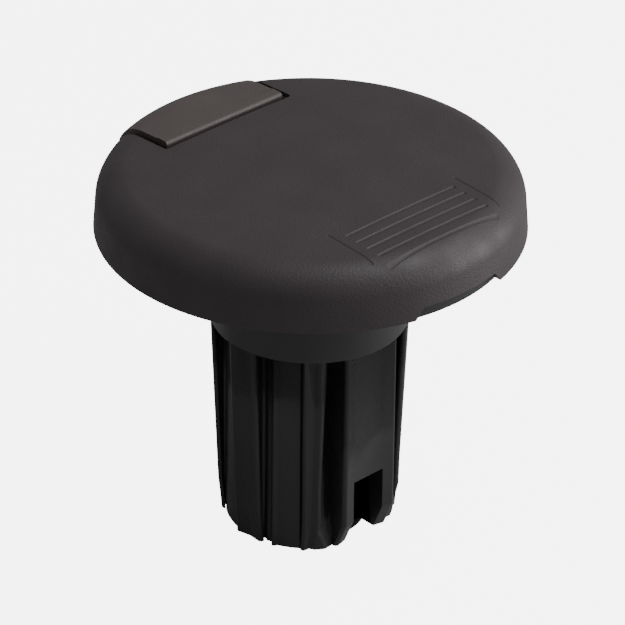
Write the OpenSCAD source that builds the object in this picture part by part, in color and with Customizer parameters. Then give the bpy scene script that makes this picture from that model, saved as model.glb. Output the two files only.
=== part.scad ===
// Desk cable grommet: a low domed cap with a spring-shut cable door, on a fluted
// stem that drops into a round hole and is clamped under the desk top by two
// swing-out dogs on long screws.
// Frame: +Z up, origin on the stem's axis at the desk surface, cable door toward +Y.
// All lengths are in millimetres and all angles in degrees.

/* [Cap] */
// Diameter of the cap at the lower edge of its skirt
cap_d = 108; // [106:1:112]
// Height of the cap's centre above the desk
cap_top = 18.2; // [17.5:0.1:18.6]
// Air gap between the skirt and the desk
rim_gap = 1; // [0.6:0.1:1.2]
// Radius of the rounded edge between dome and skirt
edge_r = 8.5; // [7.5:0.5:9]
// Radius of the shallow dome
dome_r = 800; // [700:10:1000]
// Lean of the skirt from the vertical
skirt_lean = 4.5; // [3:0.5:6]
// Wall thickness of the cap and of the door
wall = 2.2; // [2:0.1:2.4]

/* [Moulded panel] */
// Number of shallow grooves across the panel
groove_count = 5; // [3:1:5]
// Distance from one groove to the next
groove_pitch = 3.7; // [3.4:0.05:3.8]
// Length of each groove
groove_len = 37; // [30:1:38]
// Depth of the grooves and of the two lines beside them
groove_depth = 0.4; // [0.2:0.1:0.6]

/* [Cable door] */
// Distance from the cap's axis to the inner edge of the door opening
door_edge_y = 30; // [29.5:0.1:31]
// Width of the door
door_w = 39; // [38:0.2:41]
// Open gap around three sides of the door
door_gap = 1.5; // [1:0.1:1.5]
// Height by which the door stands proud of the cap
door_proud = 0.6; // [0.6:0.1:1.2]
// Radius of the hinge knuckle
knuckle_r = 3.2; // [3:0.1:3.3]
// Diameter of the hinge pin
pin_d = 2; // [1.8:0.1:2.2]
// Width of the cable mouth at the foot of the door
mouth_w = 26; // [20:1:28]
// Height of the cable mouth above the desk
mouth_h = 8.8; // [7.8:0.1:9]

/* [Stem] */
// Diameter of the plain collar that fills the desk hole
collar_d = 50.2; // [49.8:0.1:50.4]
// Depth of the collar below the desk surface
collar_depth = 25; // [24:1:27]
// Depth of the whole stem below the desk surface
stem_depth = 82; // [80:0.5:86]
// Radius of the lands where they leave the collar
land_r = 24.5; // [24.2:0.1:24.7]
// Radius of the barrel between the lands
barrel_r = 21.3; // [21:0.1:21.5]
// Mould draft of the lands
draft = 2.25; // [1.5:0.25:2.5]
// Outer radius of the stem's inner tube
tube_r = 14.5; // [14.3:0.1:14.6]
// Radius of the cable bore
bore_r = 12.3; // [12:0.1:12.6]

/* [Desk clamp] */
// Diameter of the two clamp screws
clamp_screw_d = 3; // [2.8:0.1:3.2]
// Reach of a dog from its screw's axis
dog_reach = 10.5; // [8:0.5:10.5]
// Height of a dog
dog_h = 8.4; // [7:0.2:9]

/* [Hidden] */
$fn = 96;
over = 1;
cap_r = cap_d / 2;
flange_t = 2;
gasket_t = 1.6;
flange_top = gasket_t + flange_t;
flange_r = [49.5, 51.4];

// Profile of the cap: the rounded edge touches the dome and the leaning skirt
dome_c = [0, cap_top - dome_r];
skirt_n = [cos(skirt_lean), sin(skirt_lean)];
skirt_up = [-sin(skirt_lean), cos(skirt_lean)];
foot = [cap_r, rim_gap];
edge_0 = foot - edge_r * skirt_n - dome_c;
edge_b = skirt_up * edge_0;
edge_t = -edge_b + sqrt(edge_b * edge_b - edge_0 * edge_0 + pow(dome_r - edge_r, 2));
edge_c = foot - edge_r * skirt_n + edge_t * skirt_up;
edge_top_a = atan2(edge_c.y - dome_c.y, edge_c.x);

// First groove of the panel, measured from the axis
panel_y = 32.3;

// Hinge of the cable door
door_y = door_edge_y + door_gap;
pin_y = door_y + knuckle_r;
pin_z = dome_z(pin_y) + door_proud - knuckle_r;
pin_len = 52;
mouth_r = 2.4;
open_half = door_w / 2 + door_gap;
spring_half = 4.2;
spring_turns = 7;
spring_pitch = 1;
wire_r = 0.35;
coil_r = pin_d / 2 + 0.3 + wire_r;
leg_x = spring_pitch * (spring_turns - 1) / 2;
leg_len = 8;
eye_y = 5.2;
eye = [3.4, 1.5, 6.4];
saddle_z = 9;
saddle_l = 8;
saddle_y = [pin_y - 2.6, 46];
clamp_w = 8;
clamp_t = 1.5;
hinge_screw_y = pin_y + 3.4;
hinge_screw_x = open_half + 4.2;
bush_r = 1.8;
corner_r = 0.9;

// Rubber buffers that stop the door, each on a ledge of the cap
buffer_d = 2.6;
buffer_h = 1.3;
buffer_at = [open_half - 1.9, 44];
ledge = [4, 4, 1.8];
ledge_top = skin_z(norm(buffer_at) + buffer_d / 2, door_proud - wall) - buffer_h - 0.05;

// Spigot arcs on the flange and the ring arcs inside the cap that grip them
spigot_r = 46;
spigot_t = 2;
spigot_top = 8;
spigot_az = [0, 180, 240, 300];
spigot_half = 18;
ring_clear = 0.15;
pad_half_w = 4;

// Flutes, as angles from the key round to the rear; the groove is the deeper one
shallow = [46, 67.6];
groove = [67.6, 77];
recess = [96.5, 128];
groove_r = barrel_r - 0.9;
land_end_r = land_r - (stem_depth - collar_depth) * tan(draft);
lead_h = 5.5;
lead_r = land_end_r - 0.8;

// Key with a slot in its foot, and the grooves beside it, whose floors slope outward
key_y = 22.1;
key_half = 8.2;
key_lead = [3.1, 7.3];
key_groove_w = 5.2;
key_floor_y = [15, 18];
slot_half = 5;
slot_h = 18.8;
slot_floor_y = 14;

// Space moulded between the bore and the barrel, open at the top
core_r = [16.6, 18.9];

// Screws that hold the flange on the stem
stem_screw_r = 20;
stem_screw_az = [60, 150, 240, 330];

// Desk clamp: each screw stands in a deep bay of the stem, near one wall of it
clamp_r = 18.6;
dog_hub_r = 3.5;
hub_room = 0.3;
bay_az = [8, 89];
bay_w = 46.5;
clamp_az = [for (az = bay_az) az + asin((dog_hub_r + hub_room) / clamp_r)];
screw_end = stem_depth - 1;
nut_r = 2.5;
nut_rim_r = 3.3;
nut_rim_h = 0.8;
nut_z = -(stem_depth - 5.5);
dog_w = 2.8;
dog_fold = 97;
fit = 0.05;

function dome_z(r) = dome_c.y + sqrt(dome_r * dome_r - r * r);

// Height of the cap's skin, moved outward by grow, on its rounded edge
function skin_z(r, grow) = edge_c.y + sqrt(pow(edge_r + grow, 2) - pow(r - edge_c.x, 2));

function arc(c, r, a0, a1, n) =
    [for (i = [0 : n]) c + r * [cos(a0 + (a1 - a0) * i / n), sin(a0 + (a1 - a0) * i / n)]];

// Cap outline moved outward by grow, from the skirt's foot up to the axis
function cap_outline(grow, z_low) = concat(
    [[0, z_low], [cap_r + grow * skirt_n.x + (rim_gap - z_low) * tan(skirt_lean), z_low]],
    arc(edge_c, edge_r + grow, skirt_lean, edge_top_a, 12),
    arc(dome_c, dome_r + grow, edge_top_a, 90, 6)
);

module cap_solid(grow, z_low = rim_gap) {
    rotate_extrude() polygon(cap_outline(grow, z_low));
}

module polar(az, r) {
    rotate([0, 0, az]) translate([r, 0, 0]) children();
}

module tube(r_out, r_in, z0, z1) {
    translate([0, 0, z0]) difference() {
        cylinder(r = r_out, h = z1 - z0);
        translate([0, 0, -over]) cylinder(r = r_in, h = z1 - z0 + 2 * over);
    }
}

// Sector of a large disc between two azimuths less than 90 degrees apart
module sector(a0, a1, z0, z1, r = 60) {
    far = r / cos((a1 - a0) / 2);
    translate([0, 0, z0]) linear_extrude(z1 - z0)
        polygon([[0, 0], far * [cos(a0), sin(a0)], far * [cos(a1), sin(a1)]]);
}

module both_sides() {
    children();
    mirror([1, 0, 0]) children();
}

// ---------- Cap ----------

module door_opening() {
    translate([-open_half, door_edge_y, -over]) cube([2 * open_half, cap_r, cap_top + 2 * over]);
}

module panel_strips() {
    for (i = [0 : groove_count - 1])
        translate([-groove_len / 2, -panel_y - i * groove_pitch, 0]) cube([groove_len, 1, cap_top + over]);
    both_sides() translate([20.8, -44.2, 0]) cube([0.9, 16, cap_top + over]);
}

// Pry notch at the foot of the skirt, opposite the door
module pry_notch() {
    translate([0, -cap_r + 8, rim_gap]) rotate([90, 0, 0]) linear_extrude(12)
        polygon([[-15, -0.6], [15, -0.6], [11.8, 2.7], [-11.8, 2.7]]);
}

// Plate with a hole for one leg of the door spring
module spring_eye() {
    translate([leg_x, pin_y + eye_y, pin_z]) difference() {
        translate([-eye.x / 2, 0, -eye.z / 2]) cube(eye);
        translate([0, -over, -coil_r]) rotate([-90, 0, 0]) cylinder(r = wire_r + 0.1, h = eye.y + 2 * over, $fn = 24);
    }
}

// Turns its children half a turn about the upright axis through the hinge pin
module other_side_of_pin() {
    translate([0, 2 * pin_y, 0]) rotate([0, 0, 180]) children();
}

// Block that carries one end of the hinge pin, with a slot open below
// Room for one half of the pin, open below so that the pin goes in from under the cap
module pin_slot() {
    translate([0, pin_y, pin_z]) rotate([0, 90, 0]) cylinder(d = pin_d, h = pin_len / 2);
    translate([0, pin_y - pin_d / 2, saddle_z - over]) cube([pin_len / 2, pin_d, pin_z - saddle_z + over]);
}

module hinge_saddle() {
    difference() {
        translate([open_half, saddle_y[0], saddle_z])
            cube([saddle_l, saddle_y[1] - saddle_y[0], cap_top - saddle_z]);
        translate([hinge_screw_x, hinge_screw_y, saddle_z - over]) cylinder(d = 1.8, h = 5.5 + over);
    }
    translate([open_half + 0.6 - ledge.x, buffer_at.y - ledge.y / 2, ledge_top - ledge.z]) cube(ledge);
}

module cap_ring_arcs() {
    for (az = spigot_az) intersection() {
        tube(spigot_r + ring_clear + 1.6, spigot_r + ring_clear, flange_top + 0.3, cap_top);
        sector(az - spigot_half, az + spigot_half, 0, cap_top + over);
    }
}

module cap_shell() {
    color("#4a4346") difference() {
        union() {
            difference() {
                cap_solid(0);
                cap_solid(-wall, rim_gap - over);
                door_opening();
            }
            intersection() {
                cap_solid(-wall / 2);
                union() {
                    both_sides() hinge_saddle();
                    other_side_of_pin() spring_eye();
                    cap_ring_arcs();
                }
            }
        }
        difference() {
            panel_strips();
            cap_solid(-groove_depth);
        }
        pry_notch();
        both_sides() pin_slot();
    }
}

// ---------- Cable door and its hinge ----------

module cable_mouth() {
    side_h = mouth_h - mouth_r;
    translate([-mouth_w / 2, cap_r - 10, 0]) cube([mouth_w, 20, side_h]);
    translate([-mouth_w / 2 + mouth_r, cap_r - 10, 0]) cube([mouth_w - 2 * mouth_r, 20, mouth_h]);
    both_sides() translate([mouth_w / 2 - mouth_r, cap_r - 10, side_h])
        rotate([-90, 0, 0]) cylinder(r = mouth_r, h = 20);
}

// Squared inner edge of the door above its knuckle, with a small round
module door_corner() {
    flat = knuckle_r - corner_r;
    translate([-door_w / 2, pin_y, pin_z]) {
        translate([0, -knuckle_r, 0]) cube([door_w, knuckle_r, flat]);
        translate([0, -flat, 0]) cube([door_w, flat, knuckle_r]);
        translate([0, -flat, flat]) rotate([0, 90, 0]) cylinder(r = corner_r, h = door_w);
    }
}

module cable_door() {
    color("#5a5150") difference() {
        union() {
            intersection() {
                difference() {
                    cap_solid(door_proud, 2);
                    cap_solid(door_proud - wall, rim_gap);
                }
                translate([-door_w / 2, pin_y, 0]) cube([door_w, cap_r, cap_top + 2 * over]);
            }
            intersection() {
                cap_solid(door_proud - wall / 2);
                spring_eye();
            }
            translate([-door_w / 2, pin_y, pin_z]) rotate([0, 90, 0]) cylinder(r = knuckle_r, h = door_w);
            door_corner();
        }
        translate([-door_w / 2 - over, pin_y, pin_z]) rotate([0, 90, 0])
            cylinder(r = bush_r, h = door_w + 2 * over);
        translate([-spring_half, pin_y, pin_z]) rotate([0, 90, 0]) cylinder(r = knuckle_r - 0.7, h = 2 * spring_half);
        translate([-spring_half, pin_y - knuckle_r - over, pin_z - knuckle_r - over])
            cube([2 * spring_half, 2 * knuckle_r + over, knuckle_r + over - 0.5]);
        cable_mouth();
    }
}

module door_pin() {
    color("silver") translate([-pin_len / 2, pin_y, pin_z]) rotate([0, 90, 0]) cylinder(d = pin_d, h = pin_len);
}

module door_bushes() {
    bush_l = 8;
    color("ivory") both_sides() translate([door_w / 2 - bush_l, pin_y, pin_z]) rotate([0, 90, 0])
        difference() {
            cylinder(r = bush_r, h = bush_l);
            translate([0, 0, -over]) cylinder(r = pin_d / 2 + fit, h = bush_l + 2 * over);
        }
}

// Torsion spring: rings side by side stand for its turns, with one leg each way
module door_spring() {
    color("lightgrey") translate([0, pin_y, pin_z]) rotate([0, 90, 0]) {
        for (i = [0 : spring_turns - 1]) translate([0, 0, i * spring_pitch - leg_x])
            rotate_extrude() translate([coil_r, 0]) circle(r = wire_r, $fn = 24);
        translate([coil_r, 0, -leg_x]) cylinder(r = wire_r * 0.9, h = 2 * leg_x, $fn = 24);
        for (end = [-1, 1]) translate([coil_r, 0, end * leg_x])
            rotate([-90 * end, 0, 0]) cylinder(r = wire_r * 0.9, h = leg_len, $fn = 24);
    }
}

module door_buffers() {
    color("#202020") both_sides() translate([buffer_at.x, buffer_at.y, ledge_top])
        cylinder(d = buffer_d, h = buffer_h);
}

module hinge_clamps() {
    color("#333333") both_sides() difference() {
        union() {
            translate([open_half, saddle_y[0], saddle_z - clamp_t])
                cube([saddle_l - 0.4, clamp_w, clamp_t]);
            translate([open_half, pin_y - pin_d / 2 + fit, saddle_z - clamp_t])
                cube([3.8, pin_d - 2 * fit, pin_z - pin_d / 2 - fit - saddle_z + clamp_t]);
        }
        translate([hinge_screw_x, hinge_screw_y, saddle_z - clamp_t - over]) cylinder(d = 2.4, h = clamp_t + 2 * over);
    }
}

module pan_screw(d, len, head_d, head_h) {
    difference() {
        union() {
            cylinder(d = d, h = len);
            translate([0, 0, -head_h]) cylinder(d = head_d, h = head_h);
        }
        for (turn = [0, 90]) rotate([0, 0, turn])
            translate([-head_d / 3, -0.3, -head_h - over]) cube([2 * head_d / 3, 0.6, head_h / 2 + over]);
    }
}

module hinge_screws() {
    color("silver") both_sides() translate([hinge_screw_x, hinge_screw_y, saddle_z - clamp_t])
        pan_screw(1.8, 6, 3.8, 1.2);
}

// ---------- Liner ----------

module grip_pad_blocks(depth) {
    for (az = spigot_az) polar(az, spigot_r - 1)
        translate([0, -pad_half_w, flange_top + 0.8]) cube([depth, 2 * pad_half_w, 2.6]);
}

module liner_flange() {
    color("#262626") difference() {
        union() {
            tube(flange_r[0], tube_r + fit, gasket_t, flange_top);
            tube(flange_r[1], flange_r[0] - 1.4, 0, flange_top);
            for (az = spigot_az) intersection() {
                tube(spigot_r, spigot_r - spigot_t, flange_top - 0.5, spigot_top);
                sector(az - spigot_half + 1, az + spigot_half - 1, 0, cap_top);
            }
        }
        grip_pad_blocks(4);
        for (az = stem_screw_az) polar(az, stem_screw_r) translate([0, 0, -over]) cylinder(d = 3.2, h = 10);
        for (az = clamp_az) polar(az, clamp_r)
            translate([0, 0, -over]) cylinder(d = clamp_screw_d + 2 * fit, h = 10);
    }
}

module desk_gasket() {
    color("#161616") tube(47, 27, 0, gasket_t);
}

module grip_pads() {
    color("#3a3a3a") grip_pad_blocks(0.93);
}

// Body of revolution of the lands, with the lead-in cone at the foot
module land_envelope() {
    rotate_extrude() polygon([
        [0, -collar_depth], [land_r, -collar_depth],
        [land_end_r + lead_h * tan(draft), -stem_depth + lead_h],
        [lead_r, -stem_depth], [0, -stem_depth]
    ]);
}

module flute(span, floor_r) {
    difference() {
        sector(span[0] - 90, span[1] - 90, -stem_depth - over, -collar_depth);
        translate([0, 0, -stem_depth - 2 * over]) cylinder(r = floor_r, h = stem_depth + 2 * over);
    }
}

// Deep bay for a clamp screw and its dog
module clamp_bay(az) {
    difference() {
        sector(az, az + bay_w, -stem_depth - over, -collar_depth);
        translate([0, 0, -stem_depth - 2 * over]) cylinder(r = tube_r, h = stem_depth + 2 * over);
    }
}

// Clears the lands on both sides of the key
module key_clearance() {
    half = key_half + key_groove_w;
    translate([-half, 0, 0]) rotate([90, 0, 90]) linear_extrude(2 * half)
        polygon([
            [-key_floor_y[0], -collar_depth], [-key_floor_y[1], -stem_depth], [-key_floor_y[1], -stem_depth - over],
            [-30, -stem_depth - over], [-30, -collar_depth]
        ]);
}

module key() {
    translate([-key_half, 0, 0]) rotate([90, 0, 90]) linear_extrude(2 * key_half)
        polygon([
            [-key_y, -collar_depth - fit], [-key_y, -stem_depth + key_lead[1]], [-key_y + key_lead[0], -stem_depth],
            [-bore_r, -stem_depth], [-bore_r, -collar_depth - fit]
        ]);
}

module key_slot() {
    translate([-slot_half, -30, -stem_depth - over]) cube([2 * slot_half, 30 - slot_floor_y, slot_h + over]);
}

module barrel_coring() {
    difference() {
        tube(core_r[1], core_r[0], 3 - stem_depth, 3 - collar_depth);
        for (az = bay_az) sector(az - 9, az + bay_w + 9, -stem_depth, 0);
        translate([-15, -30, -stem_depth]) cube([30, 30, stem_depth]);
    }
}

// Space moulded out of the collar from above, round the screw bosses
module collar_coring() {
    difference() {
        tube(collar_d / 2 - 2.2, tube_r + 2, 2.6 - collar_depth, gasket_t + over);
        for (az = stem_screw_az) polar(az, stem_screw_r) translate([0, 0, -collar_depth]) cylinder(r = 3.6, h = 40);
        for (az = clamp_az) polar(az, clamp_r) translate([0, 0, -collar_depth]) cylinder(r = 3.4, h = 40);
    }
}

module fluted_stem() {
    color("#1b1b1c") difference() {
        union() {
            translate([0, 0, -collar_depth]) cylinder(d = collar_d, h = collar_depth);
            cylinder(d = collar_d - 0.6, h = gasket_t);
            translate([0, 0, -collar_depth]) cylinder(r = tube_r, h = collar_depth + flange_top);
            difference() {
                land_envelope();
                both_sides() {
                    flute(shallow, barrel_r);
                    flute(groove, groove_r);
                    flute(recess, barrel_r);
                }
                for (az = bay_az) clamp_bay(az);
                key_clearance();
            }
            key();
        }
        key_slot();
        barrel_coring();
        translate([0, 0, -stem_depth - over]) cylinder(r = bore_r, h = stem_depth + 10);
        collar_coring();
        for (az = stem_screw_az) polar(az, stem_screw_r) translate([0, 0, -14]) cylinder(d = 2.6, h = 30);
        for (az = clamp_az) polar(az, clamp_r) translate([0, 0, -40]) cylinder(d = clamp_screw_d + 0.8, h = 50);
    }
}

module stem_screws() {
    color("silver") for (az = stem_screw_az) polar(az, stem_screw_r)
        translate([0, 0, flange_top]) rotate([180, 0, 0]) pan_screw(2.6, 14, 5.2, 1.6);
}

module bore_bush() {
    color("#101010") {
        tube(bore_r, bore_r - 1.3, -6, flange_top);
        tube(tube_r + 0.9, bore_r - 1.3, flange_top, flange_top + 1.4);
    }
}

module foot_bush() {
    color("#101010") {
        tube(bore_r, bore_r - 1.3, -stem_depth, 7 - stem_depth);
        tube(tube_r - 0.2, bore_r - 1.3, -stem_depth - 1.4, -stem_depth);
    }
}

// ---------- Desk clamp ----------

module clamp_screw(az) {
    color("#2c2c2e") polar(az, clamp_r) translate([0, 0, flange_top]) rotate([180, 0, 0])
        pan_screw(clamp_screw_d, screw_end + flange_top, 5.6, 1.8);
}

module screw_clip(az) {
    color("silver") polar(az, clamp_r) tube(2.9, clamp_screw_d / 2, -screw_end + 0.4, -screw_end + 1);
}

module clamp_nut(az) {
    color("#b8a060") polar(az, clamp_r) {
        tube(nut_r, clamp_screw_d / 2 + fit, nut_z, nut_z + nut_rim_h + dog_h + 0.2);
        tube(nut_rim_r, clamp_screw_d / 2 + fit, nut_z, nut_z + nut_rim_h);
    }
}

module clamp_dog(az) {
    color("#2a2a2c") polar(az, clamp_r) translate([0, 0, nut_z + nut_rim_h + fit]) linear_extrude(dog_h)
        difference() {
            union() {
                circle(r = dog_hub_r);
                rotate(dog_fold) translate([0, -dog_w / 2]) square([dog_reach, dog_w]);
            }
            circle(r = nut_r + fit);
        }
}

cap_shell();
cable_door();
door_pin();
door_bushes();
door_spring();
door_buffers();
hinge_clamps();
hinge_screws();
liner_flange();
desk_gasket();
grip_pads();
fluted_stem();
stem_screws();
bore_bush();
foot_bush();
clamp_screw(clamp_az[0]);  // clamp_screw_right
clamp_screw(clamp_az[1]);  // clamp_screw_left
screw_clip(clamp_az[0]);  // screw_clip_right
screw_clip(clamp_az[1]);  // screw_clip_left
clamp_nut(clamp_az[0]);  // clamp_nut_right
clamp_nut(clamp_az[1]);  // clamp_nut_left
clamp_dog(clamp_az[0]);  // clamp_dog_right
clamp_dog(clamp_az[1]);  // clamp_dog_left
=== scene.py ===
"""Looks of the desk grommet: a domed cap with a cable door, on a fluted stem with a desk clamp.

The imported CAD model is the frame. Visible mouldings are rebuilt here as finer meshes that ride on
the CAD bodies; small hardware keeps its CAD mesh and gets rounded edges and a material.
Lengths in this file are in millimetres until mesh_object() turns them into metres. The camera and
the lights are placed in metres.
"""

import math

import bmesh
import bpy
from mathutils import Matrix, Vector

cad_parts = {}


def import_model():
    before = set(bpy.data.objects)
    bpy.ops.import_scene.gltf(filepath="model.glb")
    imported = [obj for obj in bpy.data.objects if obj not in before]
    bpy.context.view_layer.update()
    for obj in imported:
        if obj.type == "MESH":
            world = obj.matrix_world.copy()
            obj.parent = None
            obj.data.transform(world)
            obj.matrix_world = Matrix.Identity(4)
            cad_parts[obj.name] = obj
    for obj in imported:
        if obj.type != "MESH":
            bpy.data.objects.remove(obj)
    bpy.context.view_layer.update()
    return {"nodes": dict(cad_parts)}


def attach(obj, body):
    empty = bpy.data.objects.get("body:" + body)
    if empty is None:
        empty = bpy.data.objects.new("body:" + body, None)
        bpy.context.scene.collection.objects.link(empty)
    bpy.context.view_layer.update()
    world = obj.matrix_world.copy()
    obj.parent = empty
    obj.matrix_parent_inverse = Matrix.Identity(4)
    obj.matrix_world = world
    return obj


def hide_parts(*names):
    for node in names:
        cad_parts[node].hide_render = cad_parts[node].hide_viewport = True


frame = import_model()

MM = 0.001

# Cap: outline of the skin, and the panel moulded in it
CAP_R = 54.0
CAP_TOP = 18.2
RIM_GAP = 1.0
EDGE_R = 8.5
DOME_R = 800.0
SKIRT_LEAN = math.radians(4.5)
WALL = 2.2
CAP_STEPS = 288
GROOVES = 5
GROOVE_Y = -31.8
GROOVE_PITCH = 3.7
GROOVE_HALF = 18.5
GROOVE_W = 1.3
GROOVE_DEPTH = 0.24
FRAME_LINE_X = 21.25
FRAME_LINE_Y = (-44.2, -28.2)
FRAME_LINE_W = 0.8
FRAME_LINE_DEPTH = 0.16
NOTCH = ((-15.0, 0.4), (15.0, 0.4), (11.8, 3.7), (-11.8, 3.7))
NOTCH_FROM_AXIS = (46.0, 60.0)
TOOL_Z = (-5.0, 30.0)
BEYOND_RIM = 70.0

# Cable door. LEDGE and EYE are width, depth and height
DOOR_EDGE_Y = 30.0
DOOR_HALF = 19.5
DOOR_GAP = 1.5
DOOR_PROUD = 0.6
OPENING_HALF = DOOR_HALF + DOOR_GAP
OPENING_ROUND = 0.8
KNUCKLE_R = 3.2
PIN_R = 1.0
PIN_HALF = 26.0
BUSH_R = 1.8
CORNER_R = 0.9
KNUCKLE_WEB = ((0.3, 0.0), (1.6, 1.2))
SADDLE_Z = 9.0
SADDLE_L = 8.0
SADDLE_END_Y = 46.0
SADDLE_BEFORE_PIN = 2.6
BUFFER_Y = 44.0
BUFFER_IN = 1.9
BUFFER_R = 1.3
BUFFER_H = 1.35
LEDGE = (4.0, 4.0, 1.8)
LEDGE_ROOT = 0.6
COIL_R = 1.65
WIRE_R = 0.35
SPRING_HALF = 4.2
SPRING_TURNS = 7
SPRING_LEG = 8.0
EYE = (3.4, 1.5, 6.4)
EYE_X = 3.0
EYE_Y = 5.2
MOUTH_HALF = 13.0
MOUTH_TOP = 8.8
MOUTH_ROUND = 2.4
MOUTH_FROM_AXIS = (40.0, 62.0)

# Stem
COLLAR_R = 25.1
COLLAR_DEPTH = 25.0
STEM_DEPTH = 82.0
LAND_R = 24.5
DRAFT = math.tan(math.radians(2.25))
TUBE_R = 14.5
BORE_R = 12.3
KEY_Y = 22.1
KEY_HALF = 8.2
KEY_LEAD = (3.1, 7.3)
KEY_GROOVE_W = 5.2
KEY_FLOOR_Y = (15.0, 18.0)
SLOT_HALF = 5.0
SLOT_H = 18.8
SLOT_FLOOR_Y = 14.0
LEAD_H = 9.0
LEAD_IN = 0.95
BARREL_R = 21.3
GROOVE_R = 20.4
BAY_W = 46.5
BAY_AZ = (8.0, 89.0)
LAND_FACET = 12
LAND_ROUND = 0.45
FLOOR_STEP = 3
FLOOR_ROUND = 0.35
MID_LEVEL = -44.0

# Round the stem by azimuth, from beside the key on the right to beside it on the left: where each
# stretch ends, and what it is
STEM_SPANS = (
    (-44.0, "land"), (-22.4, "barrel"), (-13.0, "groove"), (BAY_AZ[0], "land"), (BAY_AZ[0] + BAY_W, "bay"),
    (BAY_AZ[1], "land"), (BAY_AZ[1] + BAY_W, "bay"), (142.0, "land"), (173.5, "barrel"), (193.0, "land"),
    (202.4, "groove"), (224.0, "barrel"),
)

# Flange, spigot arcs, gasket and the bore's rubber bushes
GASKET_T = 1.6
GASKET_R = (27.0, 47.0)
GASKET_ROUND = 0.5
BUSH_LIP = 1.3
BUSH_RIM = 2.4
BUSH_RIM_T = 1.4
BUSH_INSIDE = (6.0, 7.0)
FLANGE_TOP = 3.6
SPIGOT_R = 46.0
SPIGOT_AZ = (0, 180, 240, 300)
SPIGOT_HALF = 17.0

# Desk clamp
CLAMP_R = 18.6
HUB = 3.8
CLAMP_AZ = {side: az + math.degrees(math.asin(HUB / CLAMP_R)) for side, az in zip(("right", "left"), BAY_AZ)}
SCREW_R = 1.5
SCREW_PITCH = 1.0
SCREW_PLAY = 0.4
SCREW_HOLE_Z = (-40.0, 10.0)
SCREW_SHORT_OF_FOOT = 1.2
SCREW_HEAD = (2.8, 1.8)  # radius, height
CROSS = (1.8, 0.3, 0.9)  # reach, half width, floor above the flange


# ---------- The cap's outline ----------

DOME_Z = CAP_TOP - DOME_R
SKIRT_N = Vector((math.cos(SKIRT_LEAN), math.sin(SKIRT_LEAN)))
SKIRT_UP = Vector((-math.sin(SKIRT_LEAN), math.cos(SKIRT_LEAN)))


def edge_centre():
    """Centre of the rounded edge that touches both the leaning skirt and the dome."""
    start = Vector((CAP_R, RIM_GAP)) - EDGE_R * SKIRT_N - Vector((0, DOME_Z))
    half = SKIRT_UP.dot(start)
    climb = -half + math.sqrt(half * half - start.dot(start) + (DOME_R - EDGE_R) ** 2)
    return Vector((CAP_R, RIM_GAP)) - EDGE_R * SKIRT_N + climb * SKIRT_UP


EDGE_C = edge_centre()
EDGE_TOP = math.atan2(EDGE_C.y - DOME_Z, EDGE_C.x)


def skin_z(r, grow=0.0):
    """Height of the cap's skin at radius r, moved outward by grow."""
    if r <= EDGE_C.x:
        return DOME_Z + math.sqrt((DOME_R + grow) ** 2 - r * r)
    return EDGE_C.y + math.sqrt(max(0.0, (EDGE_R + grow) ** 2 - (r - EDGE_C.x) ** 2))


def skin_line(grow, z_low, steps=26):
    """Outline of the cap moved outward by grow, from the skirt's foot up to the axis."""
    foot_r = CAP_R + grow * SKIRT_N.x + (RIM_GAP - z_low) * math.tan(SKIRT_LEAN)
    points = [Vector((foot_r, z_low))]
    for i in range(steps + 1):
        a = SKIRT_LEAN + (EDGE_TOP - SKIRT_LEAN) * i / steps
        points.append(EDGE_C + (EDGE_R + grow) * Vector((math.cos(a), math.sin(a))))
    rings = 14
    for i in range(1, rings + 1):
        r = points[steps + 1].x * (1 - i / rings)
        points.append(Vector((r, skin_z(r, grow))))
    return points


PIN_Y = DOOR_EDGE_Y + DOOR_GAP + KNUCKLE_R
PIN_Z = skin_z(PIN_Y) + DOOR_PROUD - KNUCKLE_R
ALONG_PIN = Matrix(((0, 0, 1, 0), (1, 0, 0, PIN_Y), (0, 1, 0, PIN_Z), (0, 0, 0, 1)))


# ---------- Mesh helpers ----------


def mesh_object(name, bm, smooth_angle=34.0):
    """Turns a bmesh in millimetres into an object in metres, smooth except across sharp edges."""
    bmesh.ops.remove_doubles(bm, verts=bm.verts, dist=1e-4)
    bmesh.ops.dissolve_degenerate(bm, edges=bm.edges, dist=1e-5)
    bmesh.ops.recalc_face_normals(bm, faces=bm.faces)
    bmesh.ops.scale(bm, vec=(MM, MM, MM), verts=bm.verts)
    mesh = bpy.data.meshes.new(name)
    limit = math.radians(smooth_angle)
    for face in bm.faces:
        face.smooth = True
    for edge in bm.edges:
        if len(edge.link_faces) == 2 and edge.calc_face_angle(0) > limit:
            edge.smooth = False
    bm.to_mesh(mesh)
    bm.free()
    obj = bpy.data.objects.new(name, mesh)
    bpy.context.scene.collection.objects.link(obj)
    return obj


def ring_loft(bm, rings, closed_ends=True):
    """Joins rings of points, all of one length, with quads; the ends are filled."""
    verts = [[bm.verts.new(p) for p in ring] for ring in rings]
    count = len(rings[0])
    for low, high in zip(verts, verts[1:]):
        for i in range(count):
            j = (i + 1) % count
            bm.faces.new((low[i], low[j], high[j], high[i]))
    if closed_ends:
        bm.faces.new(verts[0])
        bm.faces.new(verts[-1])
    return verts


def lathe(bm, outline, steps=CAP_STEPS):
    """Turns a closed (radius, height) outline round the upright axis."""
    columns = []
    for i in range(steps):
        a = 2 * math.pi * i / steps
        columns.append([bm.verts.new((r * math.cos(a), r * math.sin(a), z)) for r, z in outline])
    for i in range(steps):
        here, there = columns[i], columns[(i + 1) % steps]
        for k in range(len(outline)):
            m = (k + 1) % len(outline)
            bm.faces.new((here[k], there[k], there[m], here[m]))


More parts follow.
